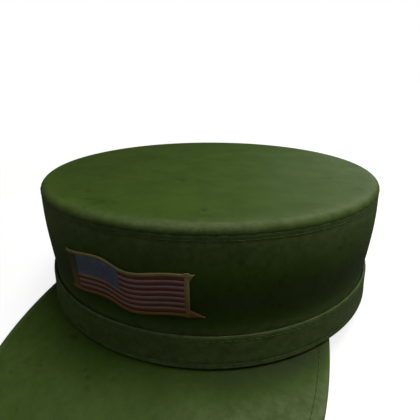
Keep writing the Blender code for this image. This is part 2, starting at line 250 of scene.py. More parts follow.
def make_twill_group():
    """Diagonal twill ribs broken into yarns, some thick and some thin.

    The vector is in metres along the cloth.
    """
    tree, start, end = add_group("Twill", {"Vector": "Vector", "Rib Pitch": "Float"},
                                 {"Height": "Float", "Shade": "Float"})
    vector, pitch = start.outputs["Vector"], start.outputs["Rib Pitch"]
    parts = tree.nodes.new("ShaderNodeSeparateXYZ")
    tree.links.new(vector, parts.inputs[0])
    across, along = parts.outputs["X"], parts.outputs["Y"]

    def ridges(distance, rate):
        turns = add_math(tree, "MULTIPLY", add_math(tree, "DIVIDE", distance, pitch), rate * pi)
        return add_math(tree, "ABSOLUTE", add_math(tree, "SINE", turns))

    waver = add_math(tree, "MULTIPLY", add_noise(tree, vector, scale=420.0, detail=2.0), RIB_WAVER)
    diagonal = add_math(tree, "ADD", add_math(tree, "ADD", across, along), waver)
    rib, weft = ridges(diagonal, 1.0), ridges(across, WEFT_PITCH)
    yarn = add_math(tree, "MULTIPLY", rib, add_math(tree, "MULTIPLY_ADD", weft, WEFT_DEPTH, 1 - WEFT_DEPTH))
    tree.links.new(yarn, end.inputs["Height"])
    stretch = tree.nodes.new("ShaderNodeVectorMath")
    stretch.operation = "MULTIPLY"
    stretch.inputs[1].default_value = SLUB_STRETCH
    tree.links.new(vector, stretch.inputs[0])
    slub = add_math(tree, "MULTIPLY", add_noise(tree, stretch.outputs["Vector"], scale=1.0), SLUB_SHADE)
    fleck = add_noise(tree, vector, scale=1500.0, detail=2.0)
    grain = add_math(tree, "MULTIPLY_ADD", fleck, FLECK_SHADE, slub)
    tree.links.new(add_math(tree, "MULTIPLY_ADD", yarn, RIB_SHADE, grain), end.inputs["Shade"])
    return tree


CLOUD_SHADE = (0.86, 0.87, 0.84)  # what is left of the dye in a dark cloud,
SMUDGE_SHADE = (0.52, 0.54, 0.62)  # in a smudge
PAINTED_SHADE_TINT = (0.45, 0.38, 0.60)  # and where shade is painted on
CLOUD_FADING = 0.06          # how far a pale cloud has faded
MOTTLING = 0.20
YARN_CONTRAST, YARN_LEAST = 0.45, 0.77
LIGHT_AND_WEAR_CONTRAST, LIGHT_AND_WEAR_LEAST = 0.5, 0.25  # painted light, and wearing at the visor's edge, take the fine grain first
DYED_ROUGHNESS, CLOUD_GLOSS = 0.53, 0.06


def make_dye_and_light_group():
    """Colour of dyed cloth marked by wearing: clouds, small dark smudges and yarns, with light and shade
    painted on.

    One input is how far the cloth is painted paler as if lit (along the visor's edge, paler from wearing),
    or below 0 how far painted shade darkens it.
    """
    tree, start, end = add_group("Dyed Cloth And Painted Light", {
        "Vector": "Vector", "Dye": "Color", "Worn And Lit": "Color",
        "Yarn Shade": "Float", "Wear And Painted Light": "Float", "Smudges": "Float",
    }, {"Color": "Color", "Roughness": "Float"})
    vector, dye, worn_and_lit = (start.outputs[socket] for socket in ("Vector", "Dye", "Worn And Lit"))
    edge = start.outputs["Wear And Painted Light"]
    clouds = add_ramp(tree, add_noise(tree, vector, scale=45.0, detail=5.0, roughness=0.6), 0.33, 0.68)
    fine = add_ramp(tree, add_noise(tree, vector, scale=260.0, detail=4.0, roughness=0.65), 0.3, 0.7)
    smudge = add_ramp(tree, add_noise(tree, vector, scale=150.0, detail=2.0), 0.64, 0.73)
    cloudy = add_mix(tree, clouds, add_shade(tree, dye, CLOUD_SHADE), add_mix(tree, CLOUD_FADING, dye, worn_and_lit))
    mottled = add_shade(tree, cloudy, add_math(tree, "MULTIPLY_ADD", fine, MOTTLING, 1 - MOTTLING / 2))
    stain = add_math(tree, "MULTIPLY", smudge, start.outputs["Smudges"])
    smudged = add_mix(tree, stain, mottled, add_shade(tree, mottled, SMUDGE_SHADE))
    yarn = add_math(tree, "MULTIPLY_ADD", start.outputs["Yarn Shade"], YARN_CONTRAST, YARN_LEAST)
    woven = add_shade(tree, smudged, yarn)
    # Painted light: the cloth is mixed towards its paler colour as if lit; along the visor's edge this is
    # wearing.
    wear_and_painted_light = add_math(tree, "MULTIPLY", edge, add_math(tree, "MULTIPLY_ADD", fine, LIGHT_AND_WEAR_CONTRAST, LIGHT_AND_WEAR_LEAST))
    paled_by_light_and_wear = add_mix(tree, wear_and_painted_light, woven, worn_and_lit)
    # Painted shade: where the input is below 0, the cloth is darkened.
    painted_shade = add_math(tree, "MULTIPLY", edge, -1.0)
    tree.links.new(add_mix(tree, painted_shade, paled_by_light_and_wear, add_shade(tree, paled_by_light_and_wear, PAINTED_SHADE_TINT)), end.inputs["Color"])
    roughness = add_math(tree, "MULTIPLY_ADD", clouds, -CLOUD_GLOSS, DYED_ROUGHNESS)
    tree.links.new(roughness, end.inputs["Roughness"])
    return tree


twill_group = make_twill_group()
dye_and_light_group = make_dye_and_light_group()


# Materials

def srgb(red, green, blue):
    """Linear colour from 8-bit display values."""
    def linear(level):
        share = level / 255
        return share / 12.92 if share <= 0.04045 else ((share + 0.055) / 1.055) ** 2.4
    return (linear(red), linear(green), linear(blue))


def new_material(name):
    material = bpy.data.materials.new(name)
    material.use_nodes = True
    return material, material.node_tree, material.node_tree.nodes["Principled BSDF"]


def place_group(tree, group):
    node = tree.nodes.new("ShaderNodeGroup")
    node.node_tree = group
    return node


def object_vector(tree):
    return tree.nodes.new("ShaderNodeTexCoord").outputs["Object"]


def weave_vector(tree):
    """The cloth's own coordinates, in metres: its UV map."""
    node = tree.nodes.new("ShaderNodeUVMap")
    node.uv_map = "weave"
    return node.outputs["UV"]


def add_bump(tree, shader, height, distance):
    node = tree.nodes.new("ShaderNodeBump")
    set_values(node, {"Strength": 1.0, "Distance": distance})
    tree.links.new(height, node.inputs["Height"])
    tree.links.new(node.outputs["Normal"], shader.inputs["Normal"])


def make_twill_cloth(name, dye, worn_and_lit, pitch=0.0006, depth=0.00010, smudges=0.8):
    """Dyed twill with yarns, clouds and smudges, and light and shade painted on from a vertex attribute."""
    material, tree, shader = new_material(name)
    twill, colouring = place_group(tree, twill_group), place_group(tree, dye_and_light_group)
    set_values(twill, {"Rib Pitch": pitch})
    set_values(colouring, {"Dye": (*dye, 1.0), "Worn And Lit": (*worn_and_lit, 1.0), "Smudges": smudges})
    # This attribute carries painted light and shade, and wearing along the visor's edge.
    edge = tree.nodes.new("ShaderNodeAttribute")
    edge.attribute_name = "wear_and_painted_light"
    tree.links.new(weave_vector(tree), twill.inputs["Vector"])
    tree.links.new(object_vector(tree), colouring.inputs["Vector"])
    tree.links.new(twill.outputs["Shade"], colouring.inputs["Yarn Shade"])
    tree.links.new(edge.outputs["Fac"], colouring.inputs["Wear And Painted Light"])
    tree.links.new(colouring.outputs["Color"], shader.inputs["Base Color"])
    tree.links.new(colouring.outputs["Roughness"], shader.inputs["Roughness"])
    add_bump(tree, shader, twill.outputs["Height"], depth)
    set_values(shader, {"Sheen Weight": 0.02, "Sheen Roughness": 0.45, "Specular IOR Level": 0.28})
    return material


FLAG_SHADES = (0.029, 0.041)  # heights between which the patch's edging turns from brown to pale gold
THREAD_MOTTLING = 0.45       # of its grain, and of its uneven dye
THREAD_GRAIN_DEPTH = 0.00006


def make_thread(name, colour, roughness=0.65, low_colour=None):
    """Spun sewing thread: a fine grain and uneven dye, shading into low_colour down the patch."""
    material, tree, shader = new_material(name)
    place = object_vector(tree)
    if low_colour is not None:
        parts = tree.nodes.new("ShaderNodeSeparateXYZ")
        tree.links.new(place, parts.inputs[0])
        colour = add_mix(tree, add_ramp(tree, parts.outputs["Z"], *FLAG_SHADES), low_colour, colour)
    grain = add_noise(tree, place, scale=5200.0, detail=2.0)
    uneven = add_math(tree, "ADD", grain, add_noise(tree, place, scale=260.0))
    level = add_math(tree, "MULTIPLY_ADD", uneven, THREAD_MOTTLING, 1 - THREAD_MOTTLING)
    tree.links.new(add_shade(tree, colour, level), shader.inputs["Base Color"])
    add_bump(tree, shader, grain, THREAD_GRAIN_DEPTH)
    set_values(shader, {"Roughness": roughness, "Sheen Weight": 0.05, "Specular IOR Level": 0.35})
    return material


FELT_MOTTLING = 0.5
FELT_GRAIN_DEPTH = 0.00008


def make_felted(name, colour, scale=900.0):
    """Non-woven sheet or pressed board: a close random fibre."""
    material, tree, shader = new_material(name)
    fibre = add_noise(tree, object_vector(tree), scale, detail=6.0, roughness=0.7)
    level = add_math(tree, "MULTIPLY_ADD", fibre, FELT_MOTTLING, 1 - FELT_MOTTLING / 2)
    tree.links.new(add_shade(tree, colour, level), shader.inputs["Base Color"])
    add_bump(tree, shader, fibre, FELT_GRAIN_DEPTH)
    set_values(shader, {"Roughness": 0.9})
    return material


# Its paler colour is where clouds fade to, and what painted light lightens the cloth towards.
cap_cloth = make_twill_cloth("Cap twill", srgb(62, 89, 15), srgb(102, 118, 74))
lining_cloth = make_twill_cloth("Lining cotton", srgb(72, 92, 46), srgb(110, 122, 84),
                                pitch=0.0004, depth=0.00006, smudges=0.2)
sweatband_cloth = make_twill_cloth("Sweatband twill", srgb(66, 86, 42), srgb(92, 100, 66),
                                   pitch=0.0005, depth=0.00009, smudges=0.6)
tape_cloth = make_twill_cloth("Seam tape", srgb(54, 74, 34), srgb(90, 104, 64), pitch=0.0007, smudges=0.2)
cap_thread = make_thread("Cap thread", srgb(70, 92, 40))
stiffener_sheet = make_felted("Stiffener sheet", srgb(84, 95, 62))
visor_board_sheet = make_felted("Visor board", srgb(66, 74, 50), scale=1400.0)
flag_red = make_thread("Flag red thread", srgb(140, 64, 58), 0.55)
flag_white = make_thread("Flag white thread", srgb(178, 152, 148), 0.55)
flag_blue = make_thread("Flag blue thread", srgb(107, 118, 150), 0.55)
flag_gold = make_thread("Flag gold thread", srgb(166, 150, 100), 0.5, low_colour=srgb(148, 110, 66))
flag_heading = make_thread("Flag heading thread", srgb(64, 78, 42), 0.55, low_colour=srgb(116, 94, 48))
flag_star = make_thread("Flag star thread", srgb(118, 124, 142), 0.55)
flag_backing = make_felted("Flag backing", srgb(92, 84, 76))


# Turning bmeshes into pieces of the cap

def mesh_from(bm, name):
    mesh = bpy.data.meshes.new(name)
    bm.to_mesh(mesh)
    bm.free()
    return mesh


def place_object(name, data):
    thing = bpy.data.objects.new(name, data)
    bpy.context.scene.collection.objects.link(thing)
    return thing


def lay_weave(bm, uv_of):
    """Gives the cloth its own coordinates, in metres.

    uv_of(point, middle) has the face's middle too, to keep a face on one side of a seam.
    """
    layer = bm.loops.layers.uv.new("weave")
    for face in bm.faces:
        middle = face.calc_center_median()
        for loop in face.loops:
            loop[layer].uv = uv_of(loop.vert.co, middle)


def round_weave(point, middle):
    """Weave of a wall: round it and up it."""
    azimuth, near = azimuth_of(point), azimuth_of(middle)
    if azimuth - near > pi:
        azimuth -= 2 * pi
    elif near - azimuth > pi:
        azimuth += 2 * pi
    return (azimuth * wall_radius, point.z)


def flat_weave(point, middle):
    """Weave of a flat sheet, which has no seam, so the face's middle isn't needed."""
    return (point.x, point.y)


def add_piece(name, bm, material, nodes=(), wear_and_painted_light=None, weave=None):
    """A finished piece of the cap, riding on its one body, in place of the CAD nodes that it stands for."""
    bmesh.ops.recalc_face_normals(bm, faces=bm.faces)
    if weave is not None:
        lay_weave(bm, weave)
    mesh = mesh_from(bm, name)
    # Painted light and shade, and wearing along the visor's edge, are stored per vertex here.
    if wear_and_painted_light is not None:
        worn_and_lit = mesh.attributes.new("wear_and_painted_light", "FLOAT", "POINT")
        worn_and_lit.data.foreach_set("value", [wear_and_painted_light(v.co) for v in mesh.vertices])
    mesh.shade_smooth()
    mesh.materials.append(material)
    piece = place_object(name, mesh)
    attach(piece, "root")
    if nodes:
        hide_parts(*nodes)
    return piece


# Turned cloth: an outline of (radius, z) points, swept round the cap

MERGE_DISTANCE = 1e-6
EDGE_ANGLES = [radians(angle) for angle in (15, 30, 45, 60, 75, 90, 105, 120, 150)]  # of a rounded edge
EDGE_ROUNDING = 0.4          # height of a rounded edge, as a share of the cloth's thickness
TOP_EDGE_ROUNDING = 0.15     # the same at the wall's top, under the rim


def swept(outline, start, stop):
    """A closed outline swept about the Z axis from one azimuth to another, its ends closed."""
    bm = bmesh.new()
    first = bm.faces.new([bm.verts.new(at(radius, start, z)) for radius, z in outline])
    steps = ceil((stop - start) / (2 * pi) * RING_STEPS)
    bmesh.ops.spin(bm, geom=[first, *first.edges, *first.verts], cent=(0, 0, 0), axis=(0, 0, 1),
                   angle=stop - start, steps=steps, use_merge=False, use_duplicate=False)
    return bm


def turned(outline, closed=True):
    """An outline turned right round the Z axis. One that isn't closed starts and ends on the axis."""
    bm = bmesh.new()
    corners = [bm.verts.new(at(radius, 0.0, z)) for radius, z in outline]
    following = corners[1:] + corners[:1] if closed else corners[1:]
    edges = [bm.edges.new(pair) for pair in zip(corners, following)]
    bmesh.ops.spin(bm, geom=corners + edges, cent=(0, 0, 0), axis=(0, 0, 1),
                   angle=2 * pi, steps=RING_STEPS, use_merge=True, use_duplicate=False)
    if not closed:
        bmesh.ops.remove_doubles(bm, verts=bm.verts, dist=MERGE_DISTANCE)
    return bm


def strip_outline(inside, outside, low, high, steps, rounding, shape=None):
    """Section of a strip of cloth: both faces in steps, its lower and upper edge rounded over two heights.

    shape(z) is how far the outer face stands out there, such as the dip along a row of stitches.
    """
    def face_at(z):
        return outside + (shape(z) if shape else 0.0)

    low_end, high_end = low + rounding[0], high - rounding[1]
    outline = [(face_at(z), z) for z in spaced(low_end, high_end, steps)]
    for end, way, size in ((high_end, 1, rounding[1]), (low_end, -1, rounding[0])):
        middle, half = (inside + face_at(end)) / 2, (face_at(end) - inside) / 2
        outline += [(middle + way * half * cos(a), end + way * size * sin(a)) for a in EDGE_ANGLES]
        if way == 1:
            outline += [(inside, z) for z in spaced(high_end, low_end, steps)]
    return outline


def follow_wall(bm):
    """Lets a turned piece give with the wall."""
    for vert in bm.verts:
        radius, azimuth = hypot(vert.co.x, vert.co.y), azimuth_of(vert.co)
        vert.co = at(radius + wall_give(azimuth, vert.co.z), azimuth, vert.co.z)


# The wall and the strips round it

STITCH_DIP = 0.00022         # how far a row of stitches draws the cloth in
STITCH_DIP_WIDTH = 0.0011
EDGE_STITCH_INSET = 0.0022
BAND_FULLNESS = 0.0001       # the doubled band swells between its two rows
BAND_LEAN = 0.0012           # the band stands out this much further at its foot
BAND_EDGES = (0.0006, 0.0016)  # heights over which the band's lower and upper edges roll
SEAM_ROLL = 0.00045          # the wall rolls in where a side seam takes its edge
SEAM_ROLL_WIDTH = 0.0009
JOIN_GAP = 0.00003           # between the two ends of a strip, which butt
SWEATBAND_FLARE = 0.0015     # the sweatband's foot meets the wall behind the visor
FLARE_HEIGHT = 0.0085
FLARE_START = (VISOR_SPREAD + radians(3.0), VISOR_SPREAD + radians(9.0))

band_rows = (band_low + EDGE_STITCH_INSET, band_high - EDGE_STITCH_INSET)
rim_row = wall_high - EDGE_STITCH_INSET


def band_shape(z):
    share = (z - band_low) / (band_high - band_low)
    dips = sum(bump_at(z, row, STITCH_DIP_WIDTH) for row in band_rows)
    return BAND_FULLNESS * sin(pi * share) + BAND_LEAN * (1 - share) ** 2 - STITCH_DIP * dips


def wall_shape(z):
    return -STITCH_DIP * bump_at(z, rim_row, STITCH_DIP_WIDTH)


def side_seam_roll(bm):
    """Rolls the wall in along its side seams, so that the seam shows as a soft valley."""
    for vert in bm.verts:
        away = abs(abs(azimuth_of(vert.co)) - SIDE_SEAM) * wall_radius
        scale = 1 - SEAM_ROLL * bump_at(away, 0.0, SEAM_ROLL_WIDTH) / wall_radius
        vert.co.x *= scale
        vert.co.y *= scale


def sweatband_flare(bm):
    """Turns the sweatband's foot out to the wall, where no visor lies between them."""
    for vert in bm.verts:
        azimuth, z = azimuth_of(vert.co), vert.co.z
        behind = between(abs(azimuth), *FLARE_START)
        out = SWEATBAND_FLARE * behind * (1 - between(z, wall_low, wall_low + FLARE_HEIGHT))
        vert.co = at(hypot(vert.co.x, vert.co.y) + out, azimuth, z)


# Painted light and shade on the cloth, and wearing along the visor's edge: how far each place is painted
# paler as if lit, or below 0 how far painted shade darkens it

LIT_SIDE = radians(45.0)    # azimuth of the side that gets the most painted light
LIT_SIDE_MEAN, LIT_SIDE_SWING = 0.6, 0.4
# Light painted on the band, most of all towards its foot
BAND_PAINTED_LIGHT = 1.2
BAND_FOOT_PAINTED_LIGHT, BAND_FOOT_HEIGHT = 0.4, 0.010
# Light painted on the wall towards the rim and above the band, and painted shade between
WALL_RIM_PAINTED_LIGHT, WALL_RIM_HEIGHT = 1.1, 0.014
WALL_FOOT_PAINTED_LIGHT, WALL_FOOT_LIGHT_HEIGHT = 1.2, 0.008
WALL_PAINTED_SHADE, WALL_SHADE_HEIGHT = 0.6, 0.012
WALL_SHADE_MIDDLE = 0.016     # above the band
# A painted highlight round the top's rim, and painted shade towards the wearer's right
TOP_RIM_PAINTED_LIGHT = 0.75
TOP_RIM_INSET, TOP_RIM_WIDTH = 0.35, 1.2  # shares of the rim's rounding
TOP_PAINTED_SHADE = 0.25
TOP_SHADE_SPAN = (-0.01, 0.07)  # distances towards the wearer's right
VISOR_EDGE_RUB, VISOR_EDGE_WIDTH = 0.9, 0.03  # the width is a share of the visor's
# A painted highlight on one side of the visor, and painted shade in the crease along the band
VISOR_PAINTED_HIGHLIGHT = 1.2
VISOR_HIGHLIGHT_SPAN = (0.004, 0.022)  # distances from the band
VISOR_LEAST_HIGHLIGHT = 0.08       # share of the painted highlight on the other side
VISOR_CREASE_SHADE, VISOR_CREASE_SHADE_WIDTH = 0.9, 0.018
VISOR_HIGHLIGHT_SIDE = (0.0, radians(35))  # azimuths between which the painted highlight and crease shade begin


def lit_side_share(point):
    """How much of the painted light each side of the cap gets: most at the front on the wearer's left."""
    return LIT_SIDE_MEAN + LIT_SIDE_SWING * cos(azimuth_of(point) - LIT_SIDE)


def band_painted_light(point):
    """The band stands out, and light is painted on it, paler than the wall, most of all towards its foot."""
    foot = 1 - between(point.z, band_low, band_low + BAND_FOOT_HEIGHT)
    return lit_side_share(point) * (BAND_PAINTED_LIGHT + BAND_FOOT_PAINTED_LIGHT * foot)


def wall_painted_light_and_shade(point):
    """The wall is painted paler as if lit towards the rim and just above the band, and darkest between, with
    painted shade.
    """
    rim = WALL_RIM_PAINTED_LIGHT * bump_at(point.z, wall_high, WALL_RIM_HEIGHT)
    light_above_band = WALL_FOOT_PAINTED_LIGHT * (1 - between(point.z, band_high, band_high + WALL_FOOT_LIGHT_HEIGHT))
    painted_shade = WALL_PAINTED_SHADE * bump_at(point.z, band_high + WALL_SHADE_MIDDLE, WALL_SHADE_HEIGHT)
    return lit_side_share(point) * (rim + light_above_band) - painted_shade


def top_painted_light_and_shade(point):
    """The top is painted paler round its rim, as a highlight, and a little darker to the wearer's right, as
    painted shade.
    """
    middle = wall_radius - TOP_RIM_INSET * rim_rounding
    rim = TOP_RIM_PAINTED_LIGHT * bump_at(hypot(point.x, point.y), middle, TOP_RIM_WIDTH * rim_rounding)
    return lit_side_share(point) * rim - TOP_PAINTED_SHADE * between(-point.x, *TOP_SHADE_SPAN)


def visor_wear_and_painted_light(point):
    """The visor is paler along its edge from wearing and, on one side, painted paler as a highlight.

    On that side painted shade also darkens it along the band, in the crease.
    """
    across = abs(point.x) / visor_half_width
    ahead = max(0.0, -point.y - visor_sides_end) / visor_depth
    share = (across ** VISOR_ROUNDNESS + ahead ** VISOR_ROUNDNESS) ** (1 / VISOR_ROUNDNESS)
    out = hypot(point.x, point.y) - band_radius
    side = between(azimuth_of(point), *VISOR_HIGHLIGHT_SIDE)
    # Painted highlight, on one side of the visor
    pale = VISOR_PAINTED_HIGHLIGHT * between(out, *VISOR_HIGHLIGHT_SPAN) * (VISOR_LEAST_HIGHLIGHT + (1 - VISOR_LEAST_HIGHLIGHT) * side)
    # Painted shade in the crease along the band, on that side
    painted_shade = VISOR_CREASE_SHADE * (1 - between(out, 0.0, VISOR_CREASE_SHADE_WIDTH)) * side
    return VISOR_EDGE_RUB * bump_at(share, 1.0, VISOR_EDGE_WIDTH) + pale - painted_shade


def make_wall_layer(piece_ending, node_ending, thickness, material, steps, shape=None, wear_and_painted_light=None):
    """A front and a back panel of one layer of the wall."""
    radius = outer_radius("front_wall" + node_ending)
    low, high = low_and_high("front_wall" + node_ending)
    edges = (thickness * EDGE_ROUNDING, thickness * TOP_EDGE_ROUNDING)
    outline = strip_outline(radius - thickness, radius, low, high, steps, edges, shape)
    half_gap = GAP / 2 / radius
    panels = (
        ("front_wall", half_gap - SIDE_SEAM, SIDE_SEAM - half_gap),
        ("back_wall", SIDE_SEAM + half_gap, 2 * pi - SIDE_SEAM - half_gap),
    )
    for panel, start, stop in panels:
        bm = swept(outline, start, stop)
        if shape:
            side_seam_roll(bm)
        follow_wall(bm)
        name, node = panel + piece_ending, panel + node_ending
        piece = add_piece(name, bm, material, [node], wear_and_painted_light, round_weave)


def make_walls():
    # The wall's cloth gets painted light and shade.
    make_wall_layer("_cloth", "", WALL_CLOTH, cap_cloth, steps=48,
                    shape=wall_shape, wear_and_painted_light=wall_painted_light_and_shade)
    make_wall_layer("_stiff_sheet", "_stiffener", STIFFENER, stiffener_sheet, steps=24)
    make_wall_layer("_lining_cloth", "_lining", LINING_CLOTH, lining_cloth, steps=30)


def make_ring(node, thickness, material, steps, open_back=False, edges=None,
              shape=None, wear_and_painted_light=None, flare=None):
    """A strip right round the cap, joined at the centre of the back where it is open there."""
    radius = outer_radius(node)
    low, high = low_and_high(node)
    edges = edges or 2 * [thickness * EDGE_ROUNDING]
    outline = strip_outline(radius - thickness, radius, low, high, steps, edges, shape)
    half_gap = JOIN_GAP / radius
    bm = swept(outline, half_gap - pi, pi - half_gap) if open_back else turned(outline)
    if flare:
        flare(bm)
    follow_wall(bm)
    piece = add_piece(node + "_cloth", bm, material, [node], wear_and_painted_light, round_weave)


def make_side_tape(node):
    radius = outer_radius("crown_seam_tape")
    low, high = low_and_high(node)
    half = (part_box(node)[1][1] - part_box(node)[0][1]) / 2 / radius
    middle = SIDE_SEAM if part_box(node)[1][0] > 0 else -SIDE_SEAM
    edges = 2 * [TAPE_CLOTH * EDGE_ROUNDING]
    outline = strip_outline(radius - TAPE_CLOTH, radius, low, high, steps=20, rounding=edges)
    bm = swept(outline, middle - half, middle + half)
    follow_wall(bm)
    piece = add_piece(node + "_cloth", bm, tape_cloth, [node], None, round_weave)


def make_bands():
    # The band's cloth gets painted light.
    make_ring("outer_band", BAND_CLOTH, cap_cloth, steps=30, open_back=True,
              edges=BAND_EDGES, shape=band_shape, wear_and_painted_light=band_painted_light)
    make_ring("sweatband", SWEATBAND_CLOTH, sweatband_cloth, steps=30, open_back=True,
              flare=sweatband_flare)
    make_ring("crown_seam_tape", TAPE_CLOTH, tape_cloth, steps=12)
    make_side_tape("left_seam_tape")
    make_side_tape("right_seam_tape")


# The top: discs of cloth with a turned-down rim

PUCKERS = 150                # small gathers that the rim's seam draws in the top's edge
PUCKER_DEPTH = 0.00012
RIM_CLOSING = 0.0002         # the rim's edge closes this much of the gap to the wall
NEAR_RIM = 0.9               # share of the wall's radius beyond which the top gives with the wall
TOP_STEPS, RIM_STEPS, DISC_STEPS = 40, 10, 30


def follow_top(bm):
    """Lets a disc sag with the top, and its rim give with the wall."""
    for vert in bm.verts:
        radius, azimuth = hypot(vert.co.x, vert.co.y), azimuth_of(vert.co)
        near_rim = between(radius, wall_radius * NEAR_RIM, wall_radius)
        down = between(crown_high - vert.co.z, 0.0, rim_rounding)
        pucker = PUCKER_DEPTH * near_rim * down * sin(PUCKERS * azimuth)
        z = vert.co.z + top_give(vert.co.x, vert.co.y)
        vert.co = at(radius + near_rim * wall_give(azimuth, wall_high) + pucker, azimuth, z)


def make_disc(name, node, material, outline, wear_and_painted_light=None):
    """A disc of cloth from its outline."""
    bm = turned(outline, closed=False)
    follow_top(bm)
    piece = add_piece(name, bm, material, [node], wear_and_painted_light, flat_weave)


def make_top():
    inner_radius = wall_radius - rim_rounding
    flat_steps = spaced(0.0, inner_radius, TOP_STEPS)[:-1]

    def rim_arc(size, start, stop):
        """Points round the rim, each angle from straight up towards the outside."""
        angles = spaced(start, stop, RIM_STEPS)
        return [(inner_radius + size * sin(a), rim_low + size * cos(a)) for a in angles]

    outline = [(radius, crown_high) for radius in flat_steps]
    outline += rim_arc(rim_rounding, 0.0, pi / 2)
    outline += [(radius, rim_low - RIM_CLOSING) for radius in (wall_radius, wall_radius - TOP_CLOTH)]
    outline += rim_arc(rim_rounding - TOP_CLOTH, pi / 2, 0.0)
    outline += [(radius, crown_high - TOP_CLOTH) for radius in reversed(flat_steps)]
    # The top's cloth gets painted light and shade.
    make_disc("crown_top_cloth", "crown_top", cap_cloth, outline, top_painted_light_and_shade)
    discs = (
        ("top_stiff_sheet", "top_stiffener", stiffener_sheet, "stiffener"),
        ("top_lining_cloth", "top_lining", lining_cloth, "lining_cloth"),
    )
    for name, node, material, slot in discs:
        low, high = low_and_high(node)
        steps = spaced(0.0, outer_radius(node), DISC_STEPS)
        outline = [(radius, high) for radius in steps] + [(radius, low) for radius in reversed(steps)]
        make_disc(name, node, material, outline)


# The visor: a conical sheet from the band out to a rounded outline

VISOR_SIDE = VISOR_SPREAD + radians(4.2)  # where the covers end, inside the band
VISOR_CORNER = radians(2.4)  # over which their corners round off
VISOR_CORNER_END = 0.99      # share of that rounding at which they stop, with some cloth left
VISOR_FOLD = 0.0008          # rounding where the tongue turns out
VISOR_TURN_UNDER = 0.0030    # the upper cloth turns this far under the edge
VISOR_UNDER_INSET = 0.0052   # the lower cloth stops this far inside the edge
VISOR_SEAM_ALLOWANCE = 0.005
VISOR_COLUMNS, VISOR_STEPS = 240, 44
TONGUE_STEPS, ROLL_STEPS = 6, 12
HALVINGS = 40

visor_half_width = band_radius * sin(VISOR_SPREAD)
visor_sides_end = band_radius - VISOR_SIDES_END
visor_depth = band_radius + VISOR_PROJECTION - visor_sides_end
visor_high = -GAP
visor_low = visor_high - 2 * VISOR_CLOTH - 2 * GAP - VISOR_BOARD


def outline_radius(azimuth, inset):
    """Distance from the axis to the visor's outline, drawn in by inset, found by halving."""
    low, high = 0.5 * band_radius, 2 * band_radius
    for _ in range(HALVINGS):
        radius = (low + high) / 2
        across = radius * abs(sin(azimuth)) / (visor_half_width - inset)
        ahead = max(0.0, radius * cos(azimuth) - visor_sides_end) / (visor_depth - inset)
        inside = across ** VISOR_ROUNDNESS + ahead ** VISOR_ROUNDNESS < 1
        low, high = (radius, high) if inside else (low, radius)
    return low


def visor_drop(radius):
    return max(0.0, radius - band_radius) * tan(VISOR_SLOPE)


def visor_end(azimuth):
    """Share of the visor's depth that is left where its corner rounds off under the band."""
    past = (abs(azimuth) - VISOR_SIDE + VISOR_CORNER) / VISOR_CORNER
    past = min(VISOR_CORNER_END, max(0.0, past))
    return (1 - past * past) ** 0.5


def visor_section(azimuth, tongue_radius, level, inset, roll):
    """Middle line of one layer of the visor at an azimuth, as (radius, z) points.

    It runs down the tongue, out along the slope and, with a roll, round the edge.
    """
    upper = visor_high - VISOR_CLOTH / 2
    level = upper - (upper - level) * visor_end(azimuth)
    roll *= visor_end(azimuth)
    edge = outline_radius(azimuth, inset)
    line = [(tongue_radius, z) for z in spaced(VISOR_TONGUE, level + VISOR_FOLD, TONGUE_STEPS)]
    start = tongue_radius + VISOR_FOLD
    stop = max(start, edge - roll)
    line += [(radius, level - visor_drop(radius)) for radius in spaced(start, stop, VISOR_STEPS)]
    if roll:
        for angle in spaced(0.0, pi, ROLL_STEPS)[1:]:
            line.append((stop + roll * sin(angle), level - visor_drop(stop) - roll * (1 - cos(angle))))
        for share in (0.5, 1.0):
            radius = max(start, outline_radius(azimuth, inset + roll + share * VISOR_TURN_UNDER))
            line.append((radius, level - visor_drop(radius) - 2 * roll))
    return line


def visor_sheet(*layer):
    """One layer of the visor: its section carried from side to side, then given the cloth's thickness."""
    azimuths = spaced(-VISOR_SIDE, VISOR_SIDE, VISOR_COLUMNS)
    sections = [visor_section(azimuth, *layer) for azimuth in azimuths]
    rows = len(sections[0]) - 1
    bm = bmesh.new()
    bmesh.ops.create_grid(bm, x_segments=VISOR_COLUMNS, y_segments=rows, size=0.5)
    for vert in bm.verts:
        column, row = round((vert.co.x + 0.5) * VISOR_COLUMNS), round((vert.co.y + 0.5) * rows)
        radius, z = sections[column][row]
        point = at(radius, azimuths[column], z)
        vert.co = point + Vector((0, 0, visor_give(point.x, point.y)))
    bmesh.ops.remove_doubles(bm, verts=bm.verts, dist=MERGE_DISTANCE)
    bmesh.ops.recalc_face_normals(bm, faces=bm.faces)
    bmesh.ops.solidify(bm, geom=list(bm.faces), thickness=VISOR_CLOTH)
    return bm


def visor_area(inset, hem):
    """Flat area of a layer, from its outline, its slope and the hem that it turns under along its edge."""
    total, step = 0.0, 2 * VISOR_SPREAD / VISOR_COLUMNS
    for azimuth in spaced(-VISOR_SPREAD, VISOR_SPREAD, VISOR_COLUMNS):
        edge = outline_radius(azimuth, inset)
        total += max(0.0, edge ** 2 - band_radius ** 2) / 2 * step / cos(VISOR_SLOPE)
        rim = outline_radius(azimuth + step, inset) - edge
        total += hem * hypot(edge * step, rim)
    return total + 2 * VISOR_SPREAD * band_radius * (VISOR_TONGUE + VISOR_SEAM_ALLOWANCE)


